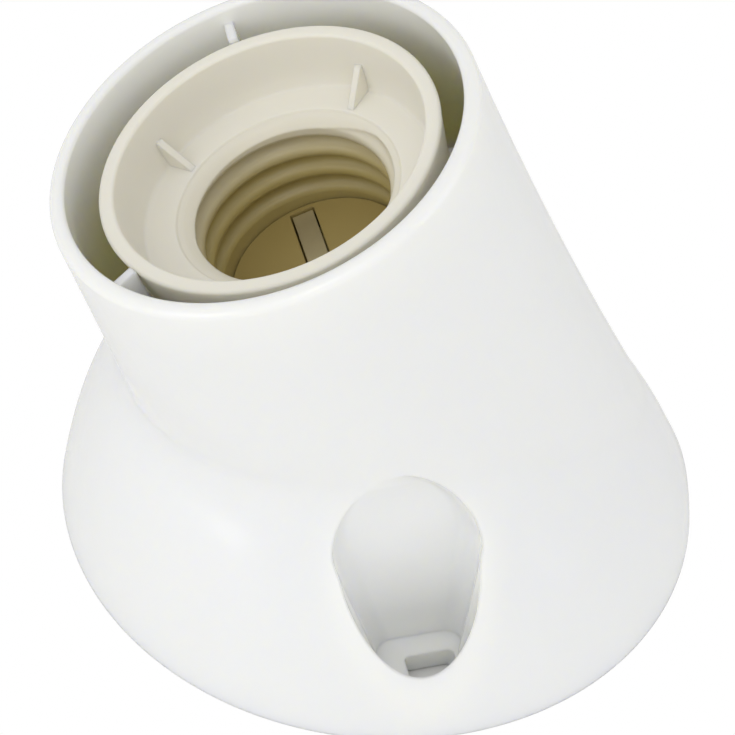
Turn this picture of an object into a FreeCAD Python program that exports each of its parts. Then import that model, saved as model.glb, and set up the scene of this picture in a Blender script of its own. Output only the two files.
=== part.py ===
"""Angled lamp holder for an E27 lamp: moulded housing, threaded insert, contacts and terminals.

Frame: origin at the centre of the base on the mounting plane, +Z out of the mounting surface,
the neck leans towards -X, and the two fixing recesses lie on the -Y and +Y sides.
The lamp frame has its origin at the centre of the insert's rim and its z axis along the lamp,
pointing out of the mouth; depths are measured down that axis from the rim.
"""
import FreeCAD, Part
import Sketcher
import math
import os

Vector = FreeCAD.Vector

SIZES = (
    # neck and mouth
    ("tilt_angle", 21.4, "lean of the lamp axis from the base normal, degrees"),
    ("neck_reach", 18.3, "rim centre's offset towards the lean"),
    ("rim_height", 61.6, "rim centre's height above the mounting plane"),
    ("lip_rise", 2.7, "housing lip above the insert's rim"),
    ("lip_radius", 26.5, "neck outside at the lip"),
    ("neck_mid_drop", 30.0, "distance of the middle section below the lip"),
    ("neck_mid_radius", 28.75, "neck outside at the middle section"),
    ("neck_mid_shift", 0.25, "middle section's offset away from the lean"),
    ("neck_foot_drop", 74.0, "distance of the foot section below the lip"),
    ("neck_foot_radius", 33.2, "neck outside at the foot section"),
    ("neck_foot_shift", 1.6, "foot section's offset away from the lean"),
    ("lip_bore_radius", 24.5, "inside of the housing's lip"),
    ("wall", 2.2, "housing wall"),
    ("lip_round", 0.9, "rounding of the lip's outer edge"),
    # base
    ("base_radius", 44.2, "base outside at the mounting plane"),
    ("skirt_height", 4.0, "height of the second base section"),
    ("skirt_step", 1.2, "narrowing of the base outside from the rim to the second section"),
    ("skirt_shift", 0.4, "second section's offset towards the lean"),
    ("haunch_height", 13.0, "height of the third base section"),
    ("haunch_step", 3.7, "narrowing from the second section to the third"),
    ("haunch_shift", 2.4, "third section's offset towards the lean"),
    ("shoulder_height", 23.0, "height of the fourth base section"),
    ("shoulder_step", 6.9, "narrowing from the third section to the fourth"),
    ("shoulder_shift", 4.9, "fourth section's offset towards the lean"),
    ("crown_height", 33.0, "height of the top base section, inside the neck"),
    ("crown_step", 9.9, "narrowing from the fourth section to the top one"),
    ("crown_shift", 7.4, "top section's offset towards the lean"),
    # fixing recesses
    ("recess_floor", 3.2, "thickness of the recess floor"),
    ("recess_half_width", 5.7, "half width of the recess at its floor"),
    ("recess_flare", 0.18, "growth of the half width for each mm of height"),
    ("recess_x", 3.4, "recess centre's offset towards the lean at the floor"),
    ("recess_lean", 0.15, "drift of the recess towards the lean for each mm of height"),
    ("recess_rear_inset", 14.0, "recess's rear wall at its floor, inside the base's edge"),
    ("recess_rear_lean", 0.042, "drift of the rear wall inwards for each mm of height"),
    ("recess_front_inset", 10.2, "centre of the recess's round front, inside the base's edge"),
    ("recess_corner", 2.4, "corner radius at the rear of the recess floor"),
    ("recess_top", 42.0, "height at which the recess tool leaves the part"),
    ("slot_inset", 9.0, "middle of a fixing slot, inside the base's edge"),
    ("slot_length", 6.9, "fixing slot, along the lean"),
    ("slot_width", 4.6, "fixing slot, across"),
    # insert
    ("rim_radius", 21.2, "cup outside at the rim"),
    ("rim_bore_radius", 19.25, "cup inside at the rim"),
    ("cup_foot_radius", 19.9, "cup outside at the shelf"),
    ("cup_floor_radius", 18.35, "cup inside at the shelf"),
    ("shelf_depth", 7.7, "shelf below the rim"),
    ("shelf_thickness", 2.0, "thickness of the shelf"),
    ("entry_radius", 14.1, "thread entry at the shelf"),
    ("entry_depth", 8.9, "depth at which the entry cone reaches the crests"),
    ("crest_radius", 12.2, "thread crests"),
    ("thread_round", 1.025, "radius of the rounded thread profile"),
    ("thread_depth", 1.15, "depth of the thread"),
    ("thread_pitch", 3.629, "seven turns to the inch"),
    ("crest_flat", 0.6, "flat left on a crest"),
    ("thread_end_rise", 4.5, "lowest groove's centre above the insert's lower end"),
    ("thread_turns", 3.1, "turns of the groove"),
    ("tube_radius", 15.4, "outside of the threaded tube"),
    ("insert_length", 24.0, "rim to the insert's lower end"),
    ("gusset_count", 4, "gussets between shelf and cup wall"),
    ("gusset_first_angle", 42.0, "first gusset, degrees from the side away from the lean"),
    ("gusset_height", 3.8, "gusset above the shelf"),
    ("gusset_foot_radius", 14.7, "inner end of a gusset"),
    ("gusset_thickness", 0.9, "gusset thickness"),
    ("rim_round", 0.45, "rounding of the rim's edges"),
    # locating ribs in the gap
    ("rib_count", 3, "ribs in the gap between cup and lip"),
    ("rib_first_angle", 88.0, "first rib, degrees from the side away from the lean"),
    ("rib_width", 1.5, "rib width"),
    ("rib_top_depth", -0.3, "top of the ribs below the rim"),
    ("rib_length", 9.0, "rib length"),
    ("rib_clear", 0.15, "rib to cup"),
    # carrier fixing
    ("fixing_radius", 19.5, "carrier screws from the lamp axis"),
    ("boss_radius", 3.6, "housing bosses for the carrier screws"),
    ("boss_length", 8.0, "length of a boss"),
    ("web_width", 4.0, "web from a boss to the neck wall"),
    ("lug_thickness", 2.0, "insert lug clamped under a boss"),
    ("lug_radius", 3.6, "radius of a lug's end"),
    ("fixing_shank_radius", 1.45, "carrier screw shank"),
    ("fixing_hole_clear", 0.25, "clearance of the carrier screws in lug and carrier"),
    ("fixing_pilot_clear", 0.03, "clearance of the carrier screws in their bosses"),
    ("fixing_screw_length", 14.0, "carrier screw under its head"),
    ("fixing_head_radius", 3.0, "carrier screw head"),
    ("fixing_head_height", 2.1, "carrier screw head"),
    # contact carrier
    ("floor_rise", 2.3, "visible floor above the insert's lower end"),
    ("bore_clear", 0.2, "carrier plateau to thread bore"),
    ("plate_radius", 18.6, "carrier plate"),
    ("plate_thickness", 4.0, "carrier plate"),
    ("groove_depth", 1.9, "groove below the centre contact, from the visible floor"),
    ("slot_clear", 0.25, "centre contact to the sides of its groove"),
    # contacts
    ("leaf_thickness", 0.5, "contact strip"),
    ("leaf_width", 2.8, "contact strip"),
    ("tongue_sink", 0.25, "centre contact's upper face below the visible floor"),
    ("tongue_tip", 1.5, "reach of the centre contact past the lamp axis"),
    ("leg_radius", 11.0, "outer face of the centre contact's leg"),
    ("side_leg_radius", 13.95, "outer face of the shell contact's leg"),
    ("side_tip_rise", 8.6, "top of the shell contact above the insert's lower end"),
    ("side_bump_rise", 6.4, "bump of the shell contact above the insert's lower end"),
    ("side_bump_radius", 11.75, "reach of the shell contact's bump"),
    ("side_root_rise", 4.0, "lower end of its bend above the insert's lower end"),
    ("side_slot_half_width", 2.0, "half width of the tube's slot for the shell contact"),
    ("side_slot_clear", 1.0, "upper end of that slot above the shell contact"),
    ("ear_inner", 7.6, "inner edge of a contact's ear"),
    ("ear_height", 3.8, "height of a contact's ear"),
    ("ear_gap", 0.4, "carrier plate to a contact's ear"),
    # rivets and terminals
    ("rivet_radius", 1.0, "rivet shank"),
    ("rivet_y", 9.0, "rivet axis from the lamp axis"),
    ("rivet_drop", 2.3, "rivet axis below the carrier plate"),
    ("rivet_clear", 0.06, "running clearance of an ear on its rivet"),
    ("rivet_seat_clear", 0.02, "rivet in its terminal"),
    ("rivet_grip", 2.2, "rivet length inside the terminal"),
    ("rivet_head_radius", 1.3, "rivet head"),
    ("rivet_head_height", 0.7, "rivet head"),
    ("ear_side_gap", 0.15, "ear to terminal and ear to rivet head"),
    ("terminal_size", 7.0, "terminal block, both ways across"),
    ("terminal_height", 8.0, "terminal block"),
    ("terminal_y", 9.5, "terminal block's middle from the lamp axis"),
    ("clamp_offset", 4.35, "clamp screw from the terminal's inner face"),
    ("clamp_radius", 1.7, "clamp screw shank"),
    ("clamp_clear", 0.05, "running clearance of a clamp screw"),
    ("wire_radius", 1.6, "wire hole"),
    ("wire_drop", 4.2, "wire hole below the carrier plate"),
    ("clamp_tip_gap", 0.15, "clamp screw tip to the wire hole's far wall"),
    ("clamp_head_gap", 0.4, "clamp screw head to the terminal"),
    ("clamp_head_radius", 2.9, "clamp screw head"),
    ("clamp_head_height", 2.0, "clamp screw head"),
    ("driver_slot", 0.8, "screwdriver slot width"),
    ("driver_slot_depth", 0.9, "screwdriver slot depth"),
    ("fence_wall", 1.4, "carrier fence around a terminal"),
    ("fence_clear", 0.15, "fence to terminal"),
    ("fence_height", 5.0, "carrier fence below the plate"),
    ("wire_notch_clear", 0.3, "wire notch in the fence around the wire hole"),
)

doc = FreeCAD.newDocument("LampHolder")
sheet = doc.addObject("Spreadsheet::Sheet", "Sizes")
for row, (alias, value, note) in enumerate(SIZES, start=1):
    sheet.set(f"A{row}", note)
    sheet.set(f"B{row}", str(value))
    sheet.setAlias(f"B{row}", alias)
doc.recompute()


def size(alias):
    """Current value of a driving dimension."""
    return float(sheet.get(alias))


def lamp_placement(turn=0):
    """Placement of the lamp frame, after a turn about the lamp axis in degrees."""
    lean = FreeCAD.Rotation(Vector(0, 1, 0), -size("tilt_angle"))
    spin = FreeCAD.Rotation(Vector(0, 0, 1), turn)
    return FreeCAD.Placement(Vector(-size("neck_reach"), 0, size("rim_height")), lean * spin)


def bind(obj, expressions):
    """Bind properties of an object to expressions on the sheet."""
    for prop, expression in expressions.items():
        obj.setExpression(prop, expression)
    return obj


def circle_section(name, radius, x, z):
    """Horizontal circle, used as a loft section."""
    circle = doc.addObject("Part::Circle", name)
    return bind(circle, {"Radius": radius, "Placement.Base.x": x, "Placement.Base.z": z})


def loft(name, sections):
    """Smooth solid through circle sections."""
    solid = doc.addObject("Part::Loft", name)
    solid.Sections = sections
    solid.Solid = True
    solid.Ruled = False
    return solid


def box(name, length, width, height, x, y, z):
    """Box from its lowest corner."""
    solid = doc.addObject("Part::Box", name)
    return bind(solid, {
        "Length": length, "Width": width, "Height": height,
        "Placement.Base.x": x, "Placement.Base.y": y, "Placement.Base.z": z,
    })


def cylinder(name, radius, height, x, y, z, rotation=None):
    """Cylinder from its base centre, upright or turned."""
    solid = doc.addObject("Part::Cylinder", name)
    if rotation:
        solid.Placement = FreeCAD.Placement(Vector(), rotation)
    return bind(solid, {
        "Radius": radius, "Height": height,
        "Placement.Base.x": x, "Placement.Base.y": y, "Placement.Base.z": z,
    })


def fuse(name, shapes):
    solid = doc.addObject("Part::MultiFuse", name)
    solid.Shapes = shapes
    return solid


def cut(name, base, tool):
    solid = doc.addObject("Part::Cut", name)
    solid.Base = base
    solid.Tool = tool
    return solid


def common(name, base, tool):
    solid = doc.addObject("Part::Common", name)
    solid.Base = base
    solid.Tool = tool
    return solid


def feature(name, shape):
    solid = doc.addObject("Part::Feature", name)
    solid.Shape = shape
    return solid


def origin_plane(body, role):
    return next(item for item in body.Origin.OriginFeatures if item.Role == role)


def profile_sketch(body, role, name, points):
    """Closed outline on an origin plane; each point is a pair of expressions."""
    sketch = body.newObject("Sketcher::SketchObject", name)
    sketch.AttachmentSupport = [(origin_plane(body, role), "")]
    sketch.MapMode = "FlatFace"
    count = len(points)
    spread = [Vector(math.cos(step), math.sin(step), 0) * 20 for step in range(count)]
    for index in range(count):
        sketch.addGeometry(Part.LineSegment(spread[index], spread[(index + 1) % count]), False)
    for index in range(count):
        sketch.addConstraint(Sketcher.Constraint("Coincident", index, 2, (index + 1) % count, 1))
    for index, (x, y) in enumerate(points):
        for direction, expression in (("DistanceX", x), ("DistanceY", y)):
            place = sketch.addConstraint(Sketcher.Constraint(direction, -1, 1, index, 1, 1.0))
            sketch.setExpression(f"Constraints[{place}]", expression)
    return sketch


def revolve(body, name, sketch):
    turned = body.newObject("PartDesign::Revolution", name)
    turned.Profile = sketch
    turned.ReferenceAxis = (sketch, ["V_Axis"])
    turned.Angle = 360
    return turned


def pad(body, name, sketch, length, midplane=False):
    plate = body.newObject("PartDesign::Pad", name)
    plate.Profile = sketch
    plate.Midplane = midplane
    plate.setExpression("Length", length)
    return plate


# ---------------------------------------------------------------- housing


def neck_sections(prefix, lip_radius, inset):
    """Three circles down the neck, in the lamp frame."""
    return [
        circle_section(f"{prefix}Lip", lip_radius, "0", "Sizes.lip_rise"),
        circle_section(f"{prefix}Mid", f"Sizes.neck_mid_radius - {inset}",
                       "Sizes.neck_mid_shift", "Sizes.lip_rise - Sizes.neck_mid_drop"),
        circle_section(f"{prefix}Foot", f"Sizes.neck_foot_radius - {inset}",
                       "Sizes.neck_foot_shift", "Sizes.lip_rise - Sizes.neck_foot_drop"),
    ]


def base_sections(prefix, inset, lowest, crown_drop):
    """Five circles up the base; their centres drift towards the lean."""
    skirt = "Sizes.base_radius - Sizes.skirt_step"
    haunch = f"{skirt} - Sizes.haunch_step"
    shoulder = f"{haunch} - Sizes.shoulder_step"
    crown = f"{shoulder} - Sizes.crown_step"
    return [
        circle_section(f"{prefix}Rim", f"Sizes.base_radius - {inset}", "0", lowest),
        circle_section(f"{prefix}Skirt", f"{skirt} - {inset}", "-Sizes.skirt_shift",
                       "Sizes.skirt_height"),
        circle_section(f"{prefix}Haunch", f"{haunch} - {inset}",
                       "-Sizes.haunch_shift", "Sizes.haunch_height"),
        circle_section(f"{prefix}Shoulder", f"{shoulder} - {inset}",
                       "-Sizes.shoulder_shift", f"Sizes.shoulder_height - {crown_drop} / 2"),
        circle_section(f"{prefix}Crown", f"{crown} - {inset}",
                       "-Sizes.crown_shift", f"Sizes.crown_height - {crown_drop}"),
    ]


def lip_edge(shape):
    """Index of the circular edge round the lip."""
    for index, edge in enumerate(shape.Edges, start=1):
        if abs(edge.BoundBox.ZMin - size("lip_rise")) < 0.01 and edge.BoundBox.ZLength < 0.01:
            return index
    raise RuntimeError("lip edge not found")


def outer_form():
    """Outside of the housing, solid."""
    neck = loft("NeckOuter", neck_sections("NeckOuter", "Sizes.lip_radius", "0"))
    doc.recompute()
    rounded = doc.addObject("Part::Fillet", "NeckLipRound")
    rounded.Base = neck
    rounded.Edges = [(lip_edge(neck.Shape), size("lip_round"), size("lip_round"))]
    rounded.Placement = lamp_placement()
    base = loft("BaseOuter", base_sections("BaseOuter", "0", "0", "0"))
    body = fuse("OuterUnion", [base, rounded])
    below = box("BelowBase", "4 * Sizes.base_radius", "4 * Sizes.base_radius",
                "2 * Sizes.base_radius", "-2 * Sizes.base_radius", "-2 * Sizes.base_radius",
                "-2 * Sizes.base_radius")
    return cut("OuterForm", body, below)


def inner_form():
    """Hollow of the housing: neck bore and the space inside the base."""
    neck = loft("NeckInner", neck_sections("NeckInner", "Sizes.lip_bore_radius", "Sizes.wall"))
    neck.Placement = lamp_placement()
    base = loft("BaseInner", base_sections("BaseInner", "Sizes.wall", "-1", "Sizes.wall"))
    return fuse("InnerForm", [neck, base])


def recess_section(height, growth):
    """Outline of the -Y recess at a height, grown outwards by growth."""
    rise = height - size("recess_floor")
    half = size("recess_half_width") + size("recess_flare") * rise + growth
    middle = -size("recess_x") - size("recess_lean") * rise
    rear = size("recess_rear_inset") - size("base_radius") + size("recess_rear_lean") * rise + growth
    front = size("recess_front_inset") - size("base_radius")
    corner = size("recess_corner") + growth
    diagonal = corner * math.sqrt(0.5)
    left = middle - half
    right = middle + half
    points = {
        "rear_left": Vector(left + corner, rear, height),
        "rear_right": Vector(right - corner, rear, height),
        "side_right": Vector(right, rear - corner, height),
        "front_right": Vector(right, front, height),
        "front": Vector(middle, front - half, height),
        "front_left": Vector(left, front, height),
        "side_left": Vector(left, rear - corner, height),
        "corner_right": Vector(right - corner + diagonal, rear - corner + diagonal, height),
        "corner_left": Vector(left + corner - diagonal, rear - corner + diagonal, height),
    }
    return Part.Wire([
        Part.makeLine(points["rear_left"], points["rear_right"]),
        Part.Arc(points["rear_right"], points["corner_right"], points["side_right"]).toShape(),
        Part.makeLine(points["side_right"], points["front_right"]),
        Part.Arc(points["front_right"], points["front"], points["front_left"]).toShape(),
        Part.makeLine(points["front_left"], points["side_left"]),
        Part.Arc(points["side_left"], points["corner_left"], points["rear_left"]).toShape(),
    ])


def recess_solid(lowest, growth):
    """Flared recess from a lowest height upwards, for both sides."""
    sections = [recess_section(lowest, growth), recess_section(size("recess_top"), growth)]
    near = Part.makeLoft(sections, True, True)
    far = near.mirror(Vector(), Vector(0, 1, 0))
    return Part.makeCompound([near, far])


def fixing_slots():
    """Slots with round ends through both recess floors."""
    radius = size("slot_width") / 2
    reach = size("slot_length") / 2 - radius
    height = size("recess_floor") + 2
    slots = []
    for side in (-1, 1):
        y = side * (size("base_radius") - size("slot_inset"))
        middle = -size("recess_x") + 0.6
        ends = [
            Part.makeCylinder(radius, height, Vector(middle + end * reach, y, -1))
            for end in (-1, 1)
        ]
        straight = Part.makeBox(2 * reach, 2 * radius, height,
                                Vector(middle - reach, y - radius, -1))
        slots.append(ends[0].fuse([ends[1], straight]).removeSplitter())
    return Part.makeCompound(slots)


def gap_ribs():
    """Locating ribs between the neck's bore and the insert's cup, in the lamp frame."""
    inner = size("rim_radius") + size("rib_clear")
    outer = size("lip_bore_radius") + size("wall")
    rib = Part.makeBox(outer - inner, size("rib_width"), size("rib_length"),
                       Vector(inner, -size("rib_width") / 2,
                              -size("rib_top_depth") - size("rib_length")))
    step = 360 / size("rib_count")
    ribs = []
    for index in range(int(size("rib_count"))):
        turned = rib.copy()
        turned.rotate(Vector(), Vector(0, 0, 1), size("rib_first_angle") + index * step)
        ribs.append(turned)
    return Part.makeCompound(ribs)


def carrier_boss(name):
    """Boss for a carrier screw with its web to the neck wall, on the +x side."""
    lug_top = "(Sizes.insert_length - Sizes.lug_thickness)"
    post = cylinder(f"{name}Post", "Sizes.boss_radius", "Sizes.boss_length",
                    "Sizes.fixing_radius", "0", f"-{lug_top}")
    web = box(f"{name}Web", "Sizes.boss_radius + Sizes.neck_mid_radius - Sizes.fixing_radius",
              "Sizes.web_width", "Sizes.boss_length",
              "Sizes.fixing_radius", "-Sizes.web_width / 2", f"-{lug_top}")
    return fuse(f"{name}Union", [post, web])


def pilot_hole(name):
    """Hole for a carrier screw, on the +x side."""
    return cylinder(name, "Sizes.fixing_shank_radius + Sizes.fixing_pilot_clear",
                    "Sizes.boss_length + 2 * Sizes.lug_thickness", "Sizes.fixing_radius", "0",
                    "-Sizes.insert_length - Sizes.lug_thickness")


def placed_pair(name, part):
    """A part and its copy turned half round the lamp axis, in the object's frame."""
    doc.recompute()
    shapes = []
    for turn in (0, 180):
        shape = part.Shape.copy()
        shape.Placement = lamp_placement(turn) * shape.Placement
        shapes.append(shape)
    return feature(name, Part.makeCompound(shapes))


def housing():
    outer = outer_form()
    shell = cut("Shell", outer, inner_form())
    bosses = placed_pair("Bosses", carrier_boss("Boss"))
    ribs = feature("GapRibs", gap_ribs())
    ribs.Placement = lamp_placement()
    linings = feature("RecessLinings", recess_solid(0, size("wall")))
    fittings = common("Fittings", fuse("FittingsUnion", [bosses, ribs, linings]), outer)
    solid = fuse("HousingSolid", [shell, fittings])
    pockets = feature("RecessPockets", recess_solid(size("recess_floor"), 0))
    slots = feature("FixingSlots", fixing_slots())
    pilots = placed_pair("Pilots", pilot_hole("Pilot"))
    return cut("housing", solid, fuse("HousingCuts", [pockets, slots, pilots]))


# ---------------------------------------------------------------- threaded insert


def insert_blank():
    """Cup, shelf and tube as one turned form."""
    body = doc.addObject("PartDesign::Body", "InsertBlank")
    crest = "Sizes.crest_radius"
    shelf_under = "-Sizes.shelf_depth - Sizes.shelf_thickness"
    sketch = profile_sketch(body, "XZ_Plane", "InsertProfile", [
        ("Sizes.rim_radius", "0"),
        ("Sizes.rim_bore_radius", "0"),
        ("Sizes.cup_floor_radius", "-Sizes.shelf_depth"),
        ("Sizes.entry_radius", "-Sizes.shelf_depth"),
        (crest, "-Sizes.entry_depth"),
        (crest, "-Sizes.insert_length"),
        ("Sizes.tube_radius", "-Sizes.insert_length"),
        ("Sizes.tube_radius", shelf_under),
        ("Sizes.cup_foot_radius", shelf_under),
    ])
    revolve(body, "InsertRevolution", sketch)
    doc.recompute()
    turned = body.Tip
    rounds = body.newObject("PartDesign::Fillet", "RimRounds")
    names = [
        f"Edge{index}" for index, edge in enumerate(turned.Shape.Edges, start=1)
        if edge.BoundBox.ZLength < 0.01 and abs(edge.BoundBox.ZMax) < 0.01
    ]
    rounds.Base = (turned, names)
    rounds.setExpression("Radius", "Sizes.rim_round")
    return body


def gussets():
    """Triangular gussets standing on the shelf against the cup wall."""
    shelf = -size("shelf_depth") - 0.3
    wall = size("cup_floor_radius") + 0.5
    foot = size("gusset_foot_radius")
    top = -size("shelf_depth") + size("gusset_height")
    half = size("gusset_thickness") / 2
    outline = Part.makePolygon([
        Vector(foot, -half, shelf), Vector(wall, -half, shelf),
        Vector(wall, -half, top), Vector(foot, -half, shelf),
    ])
    blade = Part.Face(outline).extrude(Vector(0, 2 * half, 0))
    step = 360 / size("gusset_count")
    blades = []
    for index in range(int(size("gusset_count"))):
        turned = blade.copy()
        turned.rotate(Vector(), Vector(0, 0, 1), size("gusset_first_angle") + index * step)
        blades.append(turned)
    return Part.makeCompound(blades)


def thread_groove():
    """Rounded groove of the lamp thread, swept along its helix."""
    pitch = size("thread_pitch")
    round_radius = size("thread_round")
    root = size("crest_radius") + size("thread_depth")
    root_centre = root - round_radius
    crest_centre = size("crest_radius") + round_radius
    half_flat = size("crest_flat") / 2
    edge = pitch / 2 - half_flat
    edge_radius = crest_centre - math.sqrt(round_radius ** 2 - half_flat ** 2)
    middle = Vector((root_centre + crest_centre) / 2, 0, pitch / 4)
    lean = math.atan2(pitch / 2, crest_centre - root_centre)
    turn = (math.asin(half_flat / round_radius) + lean) / 2
    crest_mid = Vector(crest_centre - round_radius * math.cos(turn), 0,
                       pitch / 2 - round_radius * math.sin(turn))
    start = size("insert_length") - size("thread_end_rise")
    inner = size("crest_radius") - 0.8

    def at(point, sign=1):
        return Vector(point.x, 0, sign * point.z - start)

    upper = Vector(edge_radius, 0, edge)
    profile = Part.Wire([
        Part.makeLine(Vector(inner, 0, -edge - start), at(upper, -1)),
        Part.Arc(at(upper, -1), at(crest_mid, -1), at(middle, -1)).toShape(),
        Part.Arc(at(middle, -1), Vector(root, 0, -start), at(middle)).toShape(),
        Part.Arc(at(middle), at(crest_mid), at(upper)).toShape(),
        Part.makeLine(at(upper), Vector(inner, 0, edge - start)),
        Part.makeLine(Vector(inner, 0, edge - start), Vector(inner, 0, -edge - start)),
    ])
    helix = Part.makeHelix(pitch, size("thread_turns") * pitch, root)
    helix.translate(Vector(0, 0, -start))
    return helix.makePipeShell([profile], True, True)


def insert_lugs():
    """Two lugs at the lower end, each with a hole for a carrier screw."""
    lugs = []
    thickness = size("lug_thickness")
    for side in (1, -1):
        reach = side * size("fixing_radius")
        level = -size("insert_length")
        end = Part.makeCylinder(size("lug_radius"), thickness, Vector(reach, 0, level))
        arm = Part.makeBox(size("fixing_radius") - size("tube_radius") + 1, 2 * size("lug_radius"),
                           thickness, Vector(min(reach, side * (size("tube_radius") - 1)),
                                             -size("lug_radius"), level))
        lugs.append(end.fuse(arm).removeSplitter())
    return Part.makeCompound(lugs)


def fixing_holes(height, z):
    """Clearance holes for both carrier screws."""
    radius = size("fixing_shank_radius") + size("fixing_hole_clear")
    return Part.makeCompound([
        Part.makeCylinder(radius, height, Vector(side * size("fixing_radius"), 0, z))
        for side in (1, -1)
    ])


def side_contact_slot():
    """Slot through the tube's wall for the shell contact, on the -y side."""
    half = size("side_slot_half_width")
    inner = size("crest_radius") - 1.5
    return Part.makeBox(2 * half, size("tube_radius") + 1 - inner,
                        size("side_tip_rise") + size("side_slot_clear") + 1,
                        Vector(-half, -size("tube_radius") - 1, -size("insert_length") - 1))


def thread_insert():
    solid = fuse("InsertSolid", [
        insert_blank(), feature("Gussets", gussets()), feature("InsertLugs", insert_lugs()),
    ])
    thickness = size("lug_thickness")
    holes = fixing_holes(thickness + 2, -size("insert_length") - 1)
    cuts = fuse("InsertCuts", [
        feature("SideSlot", side_contact_slot()), feature("LugHoles", holes),
    ])
    plain = cut("InsertPlain", solid, cuts)
    node = cut("thread_insert", plain, feature("ThreadGroove", thread_groove()))
    node.Placement = lamp_placement()
    return node


# ---------------------------------------------------------------- contact carrier

PLATE_UNDER = "(Sizes.insert_length + Sizes.plate_thickness)"
TERMINAL_INNER = "(Sizes.leaf_width / 2 + Sizes.ear_side_gap)"


def carrier_blank():
    """Plate with ears, and the plateau that closes the thread's bore."""
    plateau = cylinder("Plateau", "Sizes.crest_radius - Sizes.bore_clear",
                       "Sizes.floor_rise + Sizes.plate_thickness",
                       "0", "0", f"-{PLATE_UNDER}")
    plate = cylinder("Plate", "Sizes.plate_radius", "Sizes.plate_thickness",
                     "0", "0", f"-{PLATE_UNDER}")
    ears = [
        cylinder(f"PlateEar{label}", "Sizes.lug_radius + 0.2", "Sizes.plate_thickness",
                 f"{sign} * Sizes.fixing_radius", "0", f"-{PLATE_UNDER}")
        for label, sign in (("A", "1"), ("B", "-1"))
    ]
    return fuse("CarrierBlank", [plateau, plate] + ears)


def terminal_fence():
    """Walls that hold a terminal block under the plate, with a notch for the wire."""
    gap = size("fence_clear")
    wall = size("fence_wall")
    inner = size("leaf_width") / 2 + size("ear_side_gap")
    far = inner + size("terminal_size") + gap
    near_y = size("terminal_y") - size("terminal_size") / 2 - gap
    far_y = size("terminal_y") + size("terminal_size") / 2 + gap
    top = -size("insert_length") - size("plate_thickness")
    height = size("fence_height")
    start = inner + 1.6
    outside = Part.makeBox(far + wall - start, far_y - near_y + 2 * wall, height + 0.5,
                           Vector(start, near_y - wall, top - height))
    inside = Part.makeBox(far - inner + 1, far_y - near_y, height + 1,
                          Vector(inner - 1, near_y, top - height - 1))
    notch_half = size("wire_radius") + size("wire_notch_clear")
    clamp_x = inner + size("clamp_offset")
    notch_top = top - size("wire_drop") + notch_half
    notch = Part.makeBox(2 * notch_half, far_y - near_y + 4 * wall, height,
                         Vector(clamp_x - notch_half, near_y - 2 * wall, notch_top - height))
    return outside.cut(inside).cut(notch)


def carrier_slots():
    """Groove and passages for the two contacts."""
    top = -size("insert_length") - size("plate_thickness")
    half = size("leaf_width") / 2 + size("slot_clear")
    groove_end = size("leg_radius") + size("slot_clear")
    tip = -size("tongue_tip") - 1.2
    groove_floor = size("insert_length") - size("floor_rise") + size("groove_depth")
    groove = Part.makeBox(2 * half, groove_end - tip, groove_floor,
                          Vector(-half, tip, -groove_floor))
    passage = Part.makeBox(2 * half, 2.0, size("plate_thickness") + 4,
                           Vector(-half, groove_end - 2.0, top - 1))
    side_inner = size("side_leg_radius") - size("leaf_thickness") - 0.4
    side = Part.makeBox(2 * half, 2.0, size("plate_thickness") + 2,
                        Vector(-half, -side_inner - 2.0, top - 1))
    return Part.makeCompound([groove, passage, side])


def contact_carrier():
    fence = terminal_fence()
    turned = fence.copy()
    turned.rotate(Vector(), Vector(0, 0, 1), 180)
    solid = fuse("CarrierSolid", [
        carrier_blank(), feature("Fences", Part.makeCompound([fence, turned])),
    ])
    holes = fixing_holes(size("plate_thickness") + 2,
                         -size("insert_length") - size("plate_thickness") - 1)
    cuts = fuse("CarrierCuts", [
        feature("CarrierSlots", carrier_slots()), feature("CarrierHoles", holes),
    ])
    node = cut("contact_carrier", solid, cuts)
    node.Placement = lamp_placement()
    return node


# ---------------------------------------------------------------- contacts


def ear_sketch(body, name, outer):
    """Ear of a contact with the hole for its rivet."""
    top = f"(-{PLATE_UNDER} - Sizes.ear_gap)"
    sketch = profile_sketch(body, "YZ_Plane", name, [
        ("Sizes.ear_inner", top),
        (outer, top),
        (outer, f"{top} - Sizes.ear_height"),
        ("Sizes.ear_inner", f"{top} - Sizes.ear_height"),
    ])
    sketch.addGeometry(Part.Circle(Vector(1, 1, 0), Vector(0, 0, 1), 1.0), False)
    circle = 4
    for kind, expression in (
        ("DistanceX", "Sizes.rivet_y"),
        ("DistanceY", f"-{PLATE_UNDER} - Sizes.rivet_drop"),
    ):
        place = sketch.addConstraint(Sketcher.Constraint(kind, -1, 1, circle, 3, 1.0))
        sketch.setExpression(f"Constraints[{place}]", expression)
    place = sketch.addConstraint(Sketcher.Constraint("Radius", circle, 1.0))
    sketch.setExpression(f"Constraints[{place}]", "Sizes.rivet_radius + Sizes.rivet_clear")
    sketch.setExpression("AttachmentOffset.Base.z", "Sizes.leaf_width / 2 - Sizes.leaf_thickness")
    return sketch


def leaf_bottom():
    return f"-{PLATE_UNDER} - Sizes.ear_gap - Sizes.ear_height"


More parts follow.
